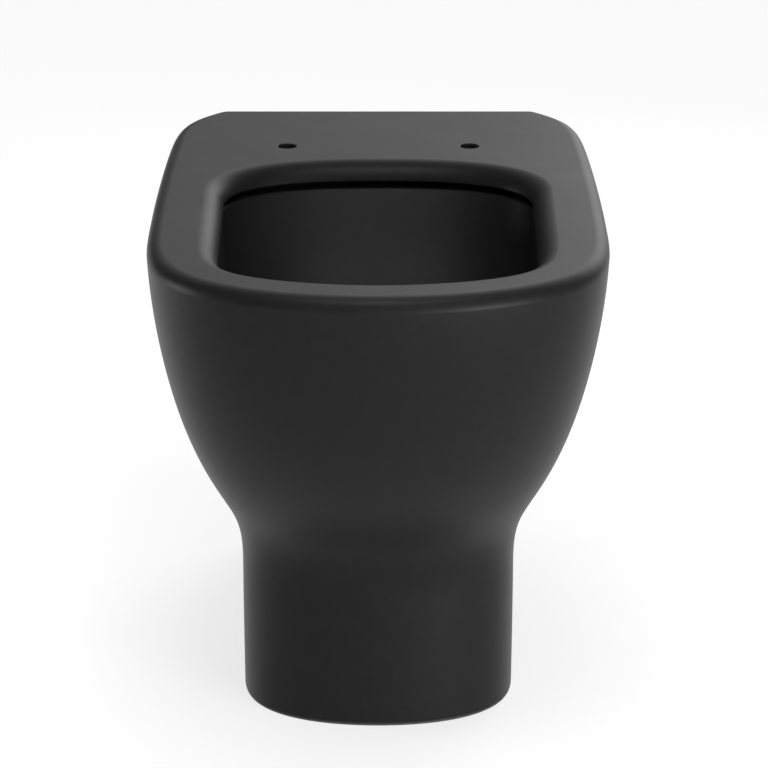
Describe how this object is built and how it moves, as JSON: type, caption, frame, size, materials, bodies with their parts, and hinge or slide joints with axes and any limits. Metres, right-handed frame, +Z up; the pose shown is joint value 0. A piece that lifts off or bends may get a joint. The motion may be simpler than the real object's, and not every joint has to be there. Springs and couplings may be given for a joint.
{
  "type": "back to wall toilet pan",
  "caption": "Floor-standing toilet pan with its back against the wall, flush slot under the rim, open seat bolt holes and hidden side fixings.",
  "frame": {"origin": "bottom centre of the pan's bounding box, on the floor under the middle of the pan", "axes": "+Y towards the wall, +X to the right of someone facing the pan from the room, +Z up"},
  "size_m": [0.365, 0.55, 0.4],
  "materials": {
    "black_glaze": "satin black glaze",
    "seal_rubber": "moulded rubber",
    "bracket_nylon": "glass-filled nylon",
    "zinc_steel": "bright zinc plate",
    "sleeve_plastic": "moulded plastic",
    "cap_black": "satin black cover cap"
  },
  "bodies": {
    "pan": {"pan_body": "black_glaze", "inlet_seal": "seal_rubber", "floor_bracket_left": "bracket_nylon", "floor_bracket_right": "bracket_nylon", "bracket_nut_left": "zinc_steel", "bracket_nut_right": "zinc_steel", "side_screw_left": "zinc_steel", "side_screw_right": "zinc_steel", "screw_washer_left": "zinc_steel", "screw_washer_right": "zinc_steel", "side_sleeve_left": "sleeve_plastic", "side_sleeve_right": "sleeve_plastic"},
    "left_cap": {"cover_cap_left": "cap_black"},
    "right_cap": {"cover_cap_right": "cap_black"}
  },
  "joints": [
    {"name": "left_cap_pull", "type": "slide", "parent": "pan", "child": "left_cap", "axis": [-1, 0, 0], "range_m": [0, 0.015]},
    {"name": "right_cap_pull", "type": "slide", "parent": "pan", "child": "right_cap", "axis": [1, 0, 0], "range_m": [0, 0.015]}
  ]
}
